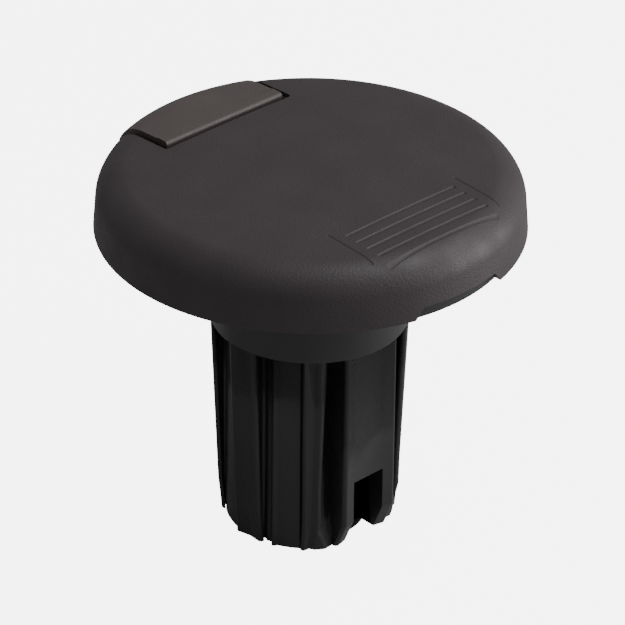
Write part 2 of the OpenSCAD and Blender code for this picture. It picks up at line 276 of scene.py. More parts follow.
def rounded(points, radii, steps=4):
    """Puts an arc at each corner of a closed outline, round the centre of the rounding asked for.

    Known fault: slerp() returns unit vectors, so the arc itself always has a radius of 1 mm. A corner
    with a smaller radius stands out past the outline by 1 mm minus its radius. In a tight corner the
    centre is that of a smaller rounding.
    """
    out = []
    count = len(points)
    for i, here in enumerate(points):
        before, after = points[i - 1] - here, points[(i + 1) % count] - here
        radius = radii[i] if isinstance(radii, (list, tuple)) else radii
        if radius <= 0 or before.length < 1e-6 or after.length < 1e-6:
            out += [here.copy()] * (steps + 1)
            continue
        angle = before.angle(after)
        if angle > math.pi - 0.02 or angle < 0.02:
            out += [here.copy()] * (steps + 1)
            continue
        reach = min(radius / math.tan(angle / 2), before.length * 0.45, after.length * 0.45)
        radius = reach * math.tan(angle / 2)
        middle = here + (before.normalized() + after.normalized()).normalized() * radius / math.sin(angle / 2)
        start = here + before.normalized() * reach - middle
        end = here + after.normalized() * reach - middle
        for k in range(steps + 1):
            out.append(middle + start.slerp(end, k / steps, start))
    return out


def prism(bm, outline, low, high, matrix=Matrix.Identity(4), bevel=0.0):
    """Straight prism over an outline; bevel chamfers the edges of both ends."""
    rings = []
    middle = sum(outline, Vector((0, 0))) / len(outline)
    for z, inset in ((low, bevel), (low + bevel, 0.0), (high - bevel, 0.0), (high, bevel)):
        ring = []
        for p in outline:
            pull = (middle - p).normalized() * inset
            ring.append(matrix @ Vector((p.x + pull.x, p.y + pull.y, z)))
        rings.append(ring)
    ring_loft(bm, rings if bevel else [rings[0], rings[-1]])


def block(bm, low, high, radius=0.3):
    """Box between two corners with chamfered ends. Its upright edges are arcs that rounded() draws."""
    x0, y0, z0 = low
    x1, y1, z1 = high
    corners = [Vector((x0, y0)), Vector((x1, y0)), Vector((x1, y1)), Vector((x0, y1))]
    prism(bm, rounded(corners, radius, 3), z0, z1, bevel=radius * 0.6)


def circle(radius, steps):
    """Points round a circle about the origin."""
    angles = [2 * math.pi * i / steps for i in range(steps)]
    return [Vector((radius * math.cos(a), radius * math.sin(a))) for a in angles]


def rod(bm, start, end, radius, steps=32, bevel=0.0):
    """Round bar from start to end."""
    start, end = Vector(start), Vector(end)
    turn = (end - start).to_track_quat("Z", "Y").to_matrix().to_4x4()
    matrix = Matrix.Translation(start) @ turn
    prism(bm, circle(radius, steps), 0, (end - start).length, matrix, bevel)


def sweep(bm, path, radius, steps=10):
    """Round wire along a path of points."""
    rings = []
    side = Vector((0, 0, 1))
    for i, p in enumerate(path):
        ahead = (path[min(i + 1, len(path) - 1)] - path[max(i - 1, 0)]).normalized()
        side = (side - ahead * side.dot(ahead)).normalized()
        other = ahead.cross(side)
        turns = [2 * math.pi * k / steps for k in range(steps)]
        rings.append([p + radius * (side * math.cos(a) + other * math.sin(a)) for a in turns])
    ring_loft(bm, rings)


def cut(obj, bm, operation="DIFFERENCE"):
    """Combines obj with the solid in bm by an exact boolean, and applies it."""
    tool = mesh_object(obj.name + "_tool", bm)
    modifier = obj.modifiers.new("cut", "BOOLEAN")
    modifier.operation = operation
    modifier.solver = "EXACT"
    modifier.use_self = True
    modifier.object = tool
    apply_modifiers(obj)
    bpy.data.objects.remove(tool)


def apply_modifiers(obj):
    """Bakes obj's modifiers into its mesh."""
    graph = bpy.context.evaluated_depsgraph_get()
    graph.update()
    baked = bpy.data.meshes.new_from_object(obj.evaluated_get(graph))
    obj.modifiers.clear()
    old = obj.data
    obj.data = baked
    bpy.data.meshes.remove(old)


def soften(obj, width, segments=2, angle=40.0):
    """Rounds the hard edges of obj by width millimetres."""
    bevel = obj.modifiers.new("soft_edges", "BEVEL")
    bevel.width = width * MM
    bevel.segments = segments
    bevel.limit_method = "ANGLE"
    bevel.angle_limit = math.radians(angle)
    bevel.use_clamp_overlap = True


def mark_sharp(obj, angle=34.0):
    """Shades obj smooth except across edges steeper than angle."""
    bm = bmesh.new()
    bm.from_mesh(obj.data)
    for face in bm.faces:
        face.smooth = True
    for edge in bm.edges:
        edge.smooth = len(edge.link_faces) == 2 and edge.calc_face_angle(0) < math.radians(angle)
    bm.to_mesh(obj.data)
    bm.free()


# ---------- Materials ----------


class Nodes:
    """Short names for building a node tree."""

    def __init__(self, name):
        self.material = bpy.data.materials.new(name)
        self.material.use_nodes = True
        self.tree = self.material.node_tree
        self.shader = self.tree.nodes["Principled BSDF"]
        self.place = self.add("ShaderNodeTexCoord").outputs["Object"]

    def add(self, kind, **values):
        """New node of a kind, with its properties set."""
        node = self.tree.nodes.new(kind)
        for key, value in values.items():
            setattr(node, key, value)
        return node

    def link(self, source, target):
        """Joins an output to an input."""
        self.tree.links.new(source, target)

    def noise(self, size_mm, detail=3.0, stretch=(1, 1, 1)):
        """Noise whose blobs are about size_mm across."""
        mapping = self.add("ShaderNodeMapping")
        mapping.inputs["Scale"].default_value = [s / (size_mm * MM) for s in stretch]
        self.link(self.place, mapping.inputs["Vector"])
        node = self.add("ShaderNodeTexNoise")
        node.inputs["Scale"].default_value = 1.0
        node.inputs["Detail"].default_value = detail
        self.link(mapping.outputs[0], node.inputs["Vector"])
        return node.outputs["Fac"]

    def pebbles(self, size_mm):
        """Smooth cells about size_mm across, as on a spark-eroded mould."""
        node = self.add("ShaderNodeTexVoronoi", feature="SMOOTH_F1")
        node.inputs["Scale"].default_value = 1.0 / (size_mm * MM)
        node.inputs["Smoothness"].default_value = 0.6
        self.link(self.place, node.inputs["Vector"])
        return node.outputs["Distance"]

    def span(self, source, low, high, start=0.3, end=0.7):
        """Maps source from start..end to low..high."""
        node = self.add("ShaderNodeMapRange")
        node.inputs["From Min"].default_value = start
        node.inputs["From Max"].default_value = end
        node.inputs["To Min"].default_value = low
        node.inputs["To Max"].default_value = high
        self.link(source, node.inputs["Value"])
        return node.outputs["Result"]

    def shade(self, colour, factor):
        """Colour multiplied by a grey factor."""
        node = self.add("ShaderNodeMix", data_type="RGBA", blend_type="MULTIPLY")
        node.inputs["Factor"].default_value = 1.0
        if isinstance(colour, (tuple, list)):
            node.inputs["A"].default_value = (*colour, 1)
        else:
            self.link(colour, node.inputs["A"])
        self.link(factor, node.inputs["B"])
        return node.outputs["Result"]

    def mix(self, amount, a, b):
        """Colour a turning into colour b as amount goes from 0 to 1."""
        node = self.add("ShaderNodeMix", data_type="RGBA")
        self.link(amount, node.inputs["Factor"])
        for side, value in (("A", a), ("B", b)):
            if isinstance(value, (tuple, list)):
                node.inputs[side].default_value = (*value, 1)
            else:
                self.link(value, node.inputs[side])
        return node.outputs["Result"]

    def multiply(self, a, b):
        """Product of two values."""
        node = self.add("ShaderNodeMath", operation="MULTIPLY")
        self.link(a, node.inputs[0])
        self.link(b, node.inputs[1])
        return node.outputs[0]

    def edges(self, radius_mm):
        """Normal rounded over hard edges, and how far it turns there from the face's own normal."""
        soft = self.add("ShaderNodeBevel", samples=4)
        soft.inputs["Radius"].default_value = radius_mm * MM
        flat = self.add("ShaderNodeNewGeometry")
        dot = self.add("ShaderNodeVectorMath", operation="DOT_PRODUCT")
        self.link(soft.outputs[0], dot.inputs[0])
        self.link(flat.outputs["Normal"], dot.inputs[1])
        return soft.outputs[0], self.span(dot.outputs["Value"], 1.0, 0.0, 0.75, 0.985)

    def bump(self, height, depth_mm, normal):
        """Normal that follows a height, on top of another normal."""
        node = self.add("ShaderNodeBump")
        node.inputs["Strength"].default_value = 1.0
        node.inputs["Distance"].default_value = depth_mm * MM
        self.link(height, node.inputs["Height"])
        self.link(normal, node.inputs["Normal"])
        return node.outputs[0]


def moulded(name, colour, rough, grain_mm=0.5, grain_depth=0.03, mottle=0.1, edge_highlight_gain=1.35, edge=0.3):
    """Moulded plastic or rubber: grain, faint mottling, and a painted highlight on hard edges, broken up by
    noise.
    """
    n = Nodes(name)
    soft, turned = n.edges(edge)
    # Painted highlight: the colour is lightened where the rounded normal turns away from the face, at hard
    # edges, broken up by noise.
    edge_highlight = n.multiply(turned, n.span(n.noise(2.5, 4.0), 0.35, 1.0, 0.35, 0.65))
    base = n.shade(colour, n.span(n.noise(14.0), 1 - mottle, 1 + mottle))
    base = n.shade(base, n.span(n.noise(0.35, 2.0), 1 - mottle, 1 + mottle))
    base = n.mix(edge_highlight, base, [min(1.0, c * edge_highlight_gain) for c in colour])
    n.link(base, n.shader.inputs["Base Color"])
    n.link(n.span(n.noise(6.0, 5.0), rough - 0.05, rough + 0.06), n.shader.inputs["Roughness"])
    bump = n.bump(n.pebbles(grain_mm), grain_depth, soft)
    n.link(n.bump(n.noise(grain_mm * 0.45, 3.0), grain_depth * 0.5, bump), n.shader.inputs["Normal"])
    return n.material


def metal(name, colour, rough, brush=(1, 1, 12), stain=0.12, edge=0.15):
    """Plated or turned metal with fine drag marks, faint staining and a painted highlight on its edges."""
    n = Nodes(name)
    soft, turned = n.edges(edge)
    marks = n.noise(0.35, 3.0, brush)
    base = n.shade(colour, n.span(marks, 1 - stain, 1 + stain * 0.5))
    base = n.shade(base, n.span(n.noise(3.0, 5.0), 1 - stain, 1.0))
    # Painted highlight: colour lightened at hard edges, where the rounded normal turns away from the face.
    base = n.mix(turned, base, [min(1.0, c * 1.3) for c in colour])
    n.link(base, n.shader.inputs["Base Color"])
    n.link(n.span(n.noise(1.5, 4.0), rough - 0.07, rough + 0.1), n.shader.inputs["Roughness"])
    n.link(n.bump(marks, 0.006, soft), n.shader.inputs["Normal"])
    n.shader.inputs["Metallic"].default_value = 1.0
    return n.material


CAP_PLASTIC = moulded("cap_plastic_look", (0.036, 0.028, 0.030), 0.58, 0.55, 0.05, 0.10, 1.35, 0.12)
DOOR_PLASTIC = moulded("door_plastic_look", (0.068, 0.054, 0.052), 0.52, 0.45, 0.025, 0.08, 1.35, 0.15)
LINER_PLASTIC = moulded("liner_plastic_look", (0.020, 0.020, 0.021), 0.50, 0.5, 0.02, 0.10)
STEM_PLASTIC = moulded("stem_plastic_look", (0.024, 0.023, 0.023), 0.34, 0.9, 0.010, 0.10, 1.8)
GASKET_RUBBER = moulded("gasket_rubber_look", (0.012, 0.012, 0.012), 0.85, 0.35, 0.06, 0.2)
PAD_RUBBER = moulded("pad_rubber_look", (0.022, 0.022, 0.022), 0.80, 0.3, 0.04, 0.15)
BUFFER_RUBBER = moulded("buffer_rubber_look", (0.016, 0.016, 0.016), 0.78, 0.3, 0.03, 0.15)
BUSH_RUBBER = moulded("bush_rubber_look", (0.011, 0.011, 0.011), 0.72, 0.4, 0.03, 0.15)
NYLON = moulded("nylon_look", (0.030, 0.030, 0.031), 0.40, 0.8, 0.01, 0.05, 1.1)
DOG_PLASTIC = moulded("dog_plastic_look", (0.017, 0.017, 0.018), 0.46, 0.6, 0.02, 0.12, 1.6)
STEEL = metal("steel_look", (0.60, 0.60, 0.60), 0.30)
SPRING_STEEL = metal("spring_steel_look", (0.48, 0.47, 0.46), 0.26, (1, 1, 1))
DARK_STEEL = metal("dark_steel_look", (0.075, 0.075, 0.08), 0.38)
BRASS = metal("brass_look", (0.66, 0.50, 0.25), 0.28, (1, 1, 10))


def dress(obj, material, body, slot, *nodes):
    """Gives a new piece its material and body, and hides the CAD nodes it stands for. slot is not used."""
    obj.data.materials.clear()
    obj.data.materials.append(material)
    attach(obj, body)
    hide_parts(*nodes)
    return obj


# ---------- Cap ----------


def skin_strip(bm, start, end, width, depth):
    """Tool for a groove with a rounded floor and round ends that follows the skin from start to end."""
    start, end = Vector(start), Vector(end)
    length = (end - start).length
    along = (end - start).normalized()
    side = Vector((-along.y, along.x))
    half = width / 2
    proud, tip = 0.02, 0.02
    ends = [half * (1 - math.cos(math.pi / 2 * k / 5)) + tip for k in range(6)]
    middles = max(2, int((length - width) / 1.5))
    stations = ends + [half + (length - width) * k / middles for k in range(1, middles)]
    stations += [length - d for d in reversed(ends)]
    rings = []
    for d in stations:
        centre = start + along * d
        from_end = min(d, length - d, half)
        scale = math.sqrt(max(0.0, 1 - (1 - from_end / half) ** 2))
        ring = []
        for k in range(9):
            t = -1 + k / 4
            p = centre + side * half * scale * t
            sink = (depth + proud) * scale * (1 - t * t) ** 0.5
            ring.append(Vector((p.x, p.y, skin_z(p.length) + proud - sink)))
        for t in (1, -1):
            p = centre + side * half * scale * t
            ring.append(Vector((p.x, p.y, skin_z(p.length) + 1)))
        rings.append(ring)
    ring_loft(bm, rings)


def panel_tool():
    """Tool for the plain grooves of the panel and the finer line at each side of them."""
    bm = bmesh.new()
    for i in range(GROOVES):
        y = GROOVE_Y - i * GROOVE_PITCH
        skin_strip(bm, (-GROOVE_HALF, y), (GROOVE_HALF, y), GROOVE_W, GROOVE_DEPTH)
    for x in (-FRAME_LINE_X, FRAME_LINE_X):
        skin_strip(bm, (x, FRAME_LINE_Y[0]), (x, FRAME_LINE_Y[1]), FRAME_LINE_W, FRAME_LINE_DEPTH)
    return bm


def door_opening_tool(half, inner_y, corner):
    """Upright prism over the door opening, open toward the rim."""
    bm = bmesh.new()
    corners = [Vector((-half, inner_y)), Vector((half, inner_y)),
               Vector((half, BEYOND_RIM)), Vector((-half, BEYOND_RIM))]
    prism(bm, rounded(corners, [corner, corner, 0, 0], 5), *TOOL_Z)
    return bm


def notch_tool():
    """Tool for the pry notch in the skirt's foot."""
    bm = bmesh.new()
    outline = rounded([Vector(p) for p in NOTCH], [0, 0, 0.6, 0.6], 4)
    prism(bm, outline, *NOTCH_FROM_AXIS, Matrix.Rotation(math.radians(90), 4, "X"))
    return bm


def shell_outline(grow, z_low, lip=0.35):
    """Closed outline of a shell as thick as the cap's wall, with a rounded lip at its foot."""
    outer = skin_line(grow, z_low)
    inner = skin_line(grow - WALL, z_low)
    inner.reverse()
    outline = outer[1:] + inner[:-1]
    foot = [inner[-1], outer[0]]
    return rounded_foot(outline, foot, lip)


def rounded_foot(outline, foot, lip):
    """Adds the two lower corners of a shell as small arcs."""
    path = [outline[-1]] + foot + [outline[0]]
    arcs = []
    for i in (1, 2):
        here, before, after = path[i], path[i - 1] - path[i], path[i + 1] - path[i]
        a, b = here + before.normalized() * lip, here + after.normalized() * lip
        for k in range(5):
            t = k / 4
            arcs.append(a * (1 - t) ** 2 + here * 2 * t * (1 - t) + b * t * t)
    return outline + arcs


def lathe_shell(bm, outline, steps=CAP_STEPS):
    """Turns a shell outline that reaches the axis twice, once outside and once inside."""
    lathe(bm, [(max(p.x, 0.0), p.y) for p in outline], steps)


def sector_ring(bm, az, half, r_in, r_out, low, high, bevel=0.3, steps=14):
    """Upright arc of wall that gets thinner by bevel at each side of its top edge."""
    angles = [math.radians(az - half + 2 * half * i / steps) for i in range(steps + 1)]
    outline = [Vector((r_out * math.cos(a), r_out * math.sin(a))) for a in angles]
    outline += [Vector((r_in * math.cos(a), r_in * math.sin(a))) for a in reversed(angles)]
    middle = (r_in + r_out) / 2
    rings = []
    for z, inset in ((low, 0.0), (high - bevel, 0.0), (high - bevel * 0.3, bevel * 0.3), (high, bevel)):
        ring = []
        for p in outline:
            pull = (middle - p.length) / abs(middle - p.length) * inset
            q = p * (p.length + pull) / p.length
            ring.append(Vector((q.x, q.y, z)))
        rings.append(ring)
    ring_loft(bm, rings)


def spring_eye(bm, side):
    """Plate that holds one leg of the door spring; side is 1 for the door and -1 for the cap."""
    y = sorted((PIN_Y + side * EYE_Y, PIN_Y + side * (EYE_Y + EYE[1])))
    x = side * EYE_X
    block(bm, (x - EYE[0] / 2, y[0], PIN_Z - EYE[2] / 2), (x + EYE[0] / 2, y[1], PIN_Z + EYE[2] / 2), 0.25)


def trim_to_skin(obj, grow):
    """Keeps only what of obj lies inside the cap's skin moved outward by grow."""
    skin = bmesh.new()
    lathe(skin, [(p.x, p.y) for p in skin_line(grow, RIM_GAP)] + [(0, RIM_GAP)])
    cut(obj, skin, "INTERSECT")


def cap_ribs():
    """Parts moulded under the cap: gripping arcs, hinge saddles, buffer ledges and the spring's eye."""
    bm = bmesh.new()
    half = OPENING_HALF
    for az in SPIGOT_AZ:
        r_in, r_out = SPIGOT_R + 0.15, SPIGOT_R + 1.75
        sector_ring(bm, az, SPIGOT_HALF + 1, r_in, r_out, FLANGE_TOP + 0.3, CAP_TOP, 0.01)
    ledge_top = skin_z(math.hypot(half - BUFFER_IN, BUFFER_Y) + BUFFER_R, DOOR_PROUD - WALL) - BUFFER_H
    for side in (-1, 1):
        x = sorted((side * half, side * (half + SADDLE_L)))
        block(bm, (x[0], PIN_Y - SADDLE_BEFORE_PIN, SADDLE_Z), (x[1], SADDLE_END_Y, CAP_TOP), 0.3)
        root = half + LEDGE_ROOT
        x = sorted((side * root, side * (root - LEDGE[0])))
        low = (x[0], BUFFER_Y - LEDGE[1] / 2, ledge_top - LEDGE[2])
        block(bm, low, (x[1], BUFFER_Y + LEDGE[1] / 2, ledge_top), 0.3)
    spring_eye(bm, -1)
    ribs = mesh_object("cap_ribs", bm)
    trim_to_skin(ribs, -WALL / 2)
    return ribs


def pin_slot_tool(side):
    """Room for one end of the hinge pin, open below."""
    x = sorted((0, side * PIN_HALF))
    outline = [PIN_R * Vector((math.cos(math.pi * i / 16), math.sin(math.pi * i / 16))) for i in range(17)]
    outline += [Vector((-PIN_R, SADDLE_Z - 1 - PIN_Z)), Vector((PIN_R, SADDLE_Z - 1 - PIN_Z))]
    bm = bmesh.new()
    prism(bm, outline, x[0], x[1], ALONG_PIN)
    return bm


def join(obj, other):
    """Adds the mesh of other to obj and removes other."""
    bm = bmesh.new()
    bm.from_mesh(obj.data)
    bm.from_mesh(other.data)
    bm.to_mesh(obj.data)
    bm.free()
    bpy.data.objects.remove(other)


def cap():
    """Domed cap with its panel, pry notch, door opening and ribs."""
    bm = bmesh.new()
    lathe_shell(bm, shell_outline(0, RIM_GAP))
    obj = mesh_object("cap", bm)
    cut(obj, door_opening_tool(OPENING_HALF, DOOR_EDGE_Y, OPENING_ROUND))
    cut(obj, notch_tool())
    cut(obj, panel_tool())
    ribs = cap_ribs()
    for side in (-1, 1):
        cut(obj, pin_slot_tool(side))
        cut(ribs, pin_slot_tool(side))
    join(obj, ribs)
    mark_sharp(obj)
    return dress(obj, CAP_PLASTIC, "cap", "cap_plastic", "cap_shell")


# ---------- Cable door ----------


def mouth_tool():
    """Tool for the mouth in the door's skirt that lets cables out."""
    bm = bmesh.new()
    outline = [Vector((-MOUTH_HALF, TOOL_Z[0])), Vector((MOUTH_HALF, TOOL_Z[0])),
               Vector((MOUTH_HALF, MOUTH_TOP)), Vector((-MOUTH_HALF, MOUTH_TOP))]
    matrix = Matrix.Rotation(math.radians(90), 4, "X") @ Matrix.Scale(-1, 4, (0, 0, 1))
    prism(bm, rounded(outline, [0, 0, MOUTH_ROUND, MOUTH_ROUND], 8), *MOUTH_FROM_AXIS, matrix)
    return bm


def door_leaf():
    """Piece of the cap's skin, standing proud by DOOR_PROUD."""
    bm = bmesh.new()
    lathe_shell(bm, shell_outline(DOOR_PROUD, RIM_GAP + 1.0))
    obj = mesh_object("door", bm)
    cut(obj, door_opening_tool(DOOR_HALF, PIN_Y, 0.0), "INTERSECT")
    return obj


def knuckle():
    """Knuckle of the door: round below, squared toward the cap above."""
    steps = 24
    flat = KNUCKLE_R - CORNER_R
    outline = [KNUCKLE_R * Vector((math.cos(-math.pi * i / steps), math.sin(-math.pi * i / steps)))
               for i in range(steps + 1)]
    for i in range(7):
        a = math.pi - math.pi / 2 * i / 6
        outline.append(Vector((-flat, flat)) + CORNER_R * Vector((math.cos(a), math.sin(a))))
    outline += [Vector((y, KNUCKLE_R - drop)) for y, drop in KNUCKLE_WEB]
    bm = bmesh.new()
    prism(bm, outline, -DOOR_HALF, DOOR_HALF, ALONG_PIN)
    return bm


def knuckle_bore():
    """Tool for the bore that takes the hinge bushes."""
    bm = bmesh.new()
    reach = DOOR_HALF + 1
    rod(bm, (-reach, PIN_Y, PIN_Z), (reach, PIN_Y, PIN_Z), BUSH_R, 40)
    return bm


def spring_window():
    """Tool for the window in the knuckle, below the pin.

    Known fault: the upper half of the spring's coil still runs through the knuckle.
    """
    bm = bmesh.new()
    low = (-SPRING_HALF, PIN_Y - KNUCKLE_R - 1, PIN_Z - KNUCKLE_R - 1)
    block(bm, low, (SPRING_HALF, PIN_Y + KNUCKLE_R, PIN_Z - 0.5), 0.4)
    return bm


def cable_door():
    """Door with its knuckle, spring window, mouth and spring eye."""
    obj = door_leaf()
    cut(obj, knuckle(), "UNION")
    cut(obj, knuckle_bore())
    cut(obj, spring_window())
    cut(obj, mouth_tool())
    eye = bmesh.new()
    spring_eye(eye, 1)
    eye_obj = mesh_object("door_eye", eye)
    trim_to_skin(eye_obj, DOOR_PROUD - WALL / 2)
    join(obj, eye_obj)
    mark_sharp(obj)
    return dress(obj, DOOR_PLASTIC, "door", "door_plastic", "cable_door")


def spring_wire(name, path, body):
    """One part of the door spring, moving with the given body."""
    bm = bmesh.new()
    sweep(bm, path, WIRE_R)
    return dress(mesh_object(name, bm, 60), SPRING_STEEL, body, "spring_steel", "door_spring")


def door_spring():
    """Torsion spring coiled round the pin; its cap leg stays put and its door leg turns with the door."""
    steps = SPRING_TURNS * 24
    low = PIN_Z - COIL_R
    path = [Vector((-EYE_X, PIN_Y - SPRING_LEG, low)), Vector((-EYE_X, PIN_Y - 1, low))]
    for i in range(steps + 1):
        a = 2 * math.pi * SPRING_TURNS * i / steps
        x = -EYE_X + 2 * EYE_X * i / steps
        path.append(Vector((x, PIN_Y + COIL_R * math.sin(a), PIN_Z - COIL_R * math.cos(a))))
    spring_wire("spring", path, "cap")
    door_leg = [Vector((EYE_X, PIN_Y, low)), Vector((EYE_X, PIN_Y + SPRING_LEG, low))]
    spring_wire("spring_door_leg", door_leg, "door")


# ---------- Liner ----------


def land_radius(z):
    """Radius of the lands at height z, with the lead-in at the foot."""
    r = LAND_R + (z + COLLAR_DEPTH) * DRAFT
    above_foot = z + STEM_DEPTH
    if above_foot < LEAD_H:
        low = LAND_R - (STEM_DEPTH - COLLAR_DEPTH) * DRAFT - LEAD_IN
        high = LAND_R - (STEM_DEPTH - LEAD_H - COLLAR_DEPTH) * DRAFT
        r = low + (high - low) * above_foot / LEAD_H
    return r


def key_distance(z):
    """Distance of the key's face from the axis at height z, with its lead-in."""
    return KEY_Y - KEY_LEAD[0] * max(0.0, 1 - (z + STEM_DEPTH) / KEY_LEAD[1])


def polar(azimuth, radius):
    """Point at an azimuth in degrees and a distance from the axis."""
    a = math.radians(azimuth)
    return Vector((radius * math.cos(a), radius * math.sin(a)))


def span_points(start, end, kind, z):
    """(point, corner radius, crease) along one land or floor of the stem."""
    land = land_radius(z)
    if kind == "land":
        facets = max(2, round((end - start) / LAND_FACET))
        inside = [(polar(start + (end - start) * i / facets, land), 0, True) for i in range(1, facets)]
        return [(polar(start, land), LAND_ROUND, False)] + inside + [(polar(end, land), LAND_ROUND, False)]
    radius = min(land - 0.05, {"barrel": BARREL_R, "groove": GROOVE_R, "bay": TUBE_R}[kind])
    steps = max(3, int((end - start) / FLOOR_STEP))
    inside = [(polar(start + (end - start) * i / steps, radius), 0, False) for i in range(1, steps)]
    return [(polar(start, radius), FLOOR_ROUND, False)] + inside + [(polar(end, radius), FLOOR_ROUND, False)]


def stem_section(z, slotted):
    """Outline of the stem's body at height z, and which of its points lie on a crease."""
    land = land_radius(z)
    half = KEY_HALF + KEY_GROOVE_W
    rise = KEY_FLOOR_Y[1] - KEY_FLOOR_Y[0]
    depth = KEY_FLOOR_Y[0] + rise * (-COLLAR_DEPTH - z) / (STEM_DEPTH - COLLAR_DEPTH)
    floor_x = min(half, math.sqrt(land * land - depth * depth))
    slot_y = SLOT_FLOOR_Y if slotted else depth
    wall_az = math.degrees(math.acos(half / land))
    marked = [(Vector((-SLOT_HALF, -slot_y)), 0.0, False), (Vector((SLOT_HALF, -slot_y)), 0.0, False),
              (Vector((SLOT_HALF, -depth)), 0.0, False), (Vector((floor_x, -depth)), 0.5, False)]
    start = -wall_az
    for end, kind in STEM_SPANS:
        marked += span_points(start, end, kind, z)
        start = end
    marked += span_points(start, 180 + wall_az, "land", z)
    marked += [(Vector((-floor_x, -depth)), 0.5, False), (Vector((-SLOT_HALF, -depth)), 0.0, False)]
    steps = 6
    points = rounded([p for p, _, _ in marked], [r for _, r, _ in marked], steps)
    return points, [crease for _, _, crease in marked for _ in range(steps + 1)]


def key_section(z, slotted):
    """Outline of the key at height z."""
    face = key_distance(z)
    slot_y = SLOT_FLOOR_Y if slotted else face
    right = [(Vector((KEY_HALF, -BORE_R)), 0), (Vector((KEY_HALF, -face)), 0.35),
             (Vector((SLOT_HALF, -face)), 0), (Vector((SLOT_HALF, -slot_y)), 0)]
    left = [(Vector((-p.x, p.y)), r) for p, r in reversed(right)]
    whole = right + left
    return rounded([p for p, _ in whole], [r for _, r in whole], 6)


def stem_body(bm):
    """Body of the stem with its lands and floors, lofted from the collar to the foot."""
    slot_top = -STEM_DEPTH + SLOT_H
    levels = [(-COLLAR_DEPTH + 0.5, False), (MID_LEVEL, False), (slot_top, False), (slot_top, True)]
    levels += [(z, True) for z in (-STEM_DEPTH + LEAD_H, -STEM_DEPTH + LEAD_H / 2, -STEM_DEPTH)]
    rings, creases = [], []
    for z, slotted in levels:
        points, creases = stem_section(min(z, -COLLAR_DEPTH), slotted)
        rings.append([Vector((p.x, p.y, z)) for p in points])
    verts = ring_loft(bm, rings, closed_ends=False)
    for low, high in zip(verts, verts[1:]):
        for a, b, crease in zip(low, high, creases):
            if crease:
                bm.edges.get((a, b)).smooth = False
    close_round(bm, verts[-1], -STEM_DEPTH)
    close_round(bm, verts[0], levels[0][0])


def stem_key(bm):
    """Key with its slot, lofted from the collar to the foot."""
    slot_top = -STEM_DEPTH + SLOT_H
    levels = [(-COLLAR_DEPTH + 0.5, False), (slot_top, False), (slot_top, True),
              (-STEM_DEPTH + KEY_LEAD[1], True), (-STEM_DEPTH, True)]
    ring_loft(bm, [[Vector((p.x, p.y, z)) for p in key_section(z, slotted)] for z, slotted in levels])


def close_round(bm, ring, z, steps=96):
    """Fills the ring of faces between an outline and the bore at height z."""
    inner = [bm.verts.new((p.x, p.y, z)) for p in circle(BORE_R, steps)]
    edges = [bm.edges.new((inner[i - 1], inner[i])) for i in range(steps)]
    outer = []
    for a, b in zip(ring, ring[1:] + ring[:1]):
        if (a.co - b.co).length > 1e-4:
            outer.append(bm.edges.get((a, b)) or bm.edges.new((a, b)))
    bmesh.ops.triangle_fill(bm, use_beauty=True, use_dissolve=False, edges=outer + edges)


def stem_collar(bm):
    """Plain collar, and the tube that runs through it up to the flange."""
    soft = 0.5
    outline = [
        (BORE_R, -COLLAR_DEPTH), (COLLAR_R - soft, -COLLAR_DEPTH),
        (COLLAR_R - soft * 0.3, -COLLAR_DEPTH + soft * 0.3), (COLLAR_R, -COLLAR_DEPTH + soft),
        (COLLAR_R, GASKET_T), (TUBE_R, GASKET_T), (TUBE_R, FLANGE_TOP), (BORE_R, FLANGE_TOP),
    ]
    lathe(bm, outline, 192)


def stem_bore(bm):
    """Wall of the bore, from the collar down to the foot."""
    steps = 96
    heights = (-STEM_DEPTH, -COLLAR_DEPTH + 1)
    rings = [[Vector((p.x, p.y, z)) for p in circle(BORE_R, steps)] for z in heights]
    ring_loft(bm, rings, closed_ends=False)


def stem():
    """Collar and fluted stem, with holes for the clamp screws."""
    bm = bmesh.new()
    stem_body(bm)
    stem_key(bm)
    stem_bore(bm)
    stem_collar(bm)
    obj = mesh_object("stem", bm, 17)
    holes = bmesh.new()
    for azimuth in CLAMP_AZ.values():
        p = polar(azimuth, CLAMP_R)
        rod(holes, (p.x, p.y, SCREW_HOLE_Z[0]), (p.x, p.y, SCREW_HOLE_Z[1]), SCREW_R + SCREW_PLAY, 32)
    cut(obj, holes)
    return dress(obj, STEM_PLASTIC, "liner", "stem_plastic", "fluted_stem")


def ring_piece(name, outline, material, slot, node, radius=0.4, steps=160):
    """Round piece on the liner, turned from an outline with the arcs that rounded() draws."""
    bm = bmesh.new()
    points = rounded([Vector(p) for p in outline], radius, 4)
    lathe(bm, [(p.x, p.y) for p in points], steps)
    return dress(mesh_object(name, bm, 50), material, "liner", slot, node)


def gasket():
    """Rubber ring between the flange and the desk."""
    r_in, r_out = GASKET_R
    outline = [(r_in, 0), (r_out, 0), (r_out, GASKET_T), (r_in, GASKET_T)]
    return ring_piece("gasket", outline, GASKET_RUBBER, "gasket_rubber", "desk_gasket", GASKET_ROUND)


def bushes():
    """Rubber edge rings at the top and the foot of the bore.

    Known fault: the top ring's rim crosses both clamp screws.
    """
    inner = BORE_R - BUSH_LIP
    rim, rim_top = TUBE_R + BUSH_RIM, FLANGE_TOP + BUSH_RIM_T
    top = [(inner, -BUSH_INSIDE[0]), (BORE_R, -BUSH_INSIDE[0]), (BORE_R, FLANGE_TOP), (rim, FLANGE_TOP),
           (rim, rim_top), (inner, rim_top)]
    low, foot_rim = -STEM_DEPTH - BUSH_RIM_T, TUBE_R - 0.2
    foot = [(inner, low), (foot_rim, low), (foot_rim, -STEM_DEPTH), (BORE_R, -STEM_DEPTH),
            (BORE_R, -STEM_DEPTH + BUSH_INSIDE[1]), (inner, -STEM_DEPTH + BUSH_INSIDE[1])]
    ring_piece("bore_bush_rubber", top, BUSH_RUBBER, "bush_rubber", "bore_bush")
    ring_piece("foot_bush_rubber", foot, BUSH_RUBBER, "bush_rubber", "foot_bush")


# ---------- Desk clamp ----------


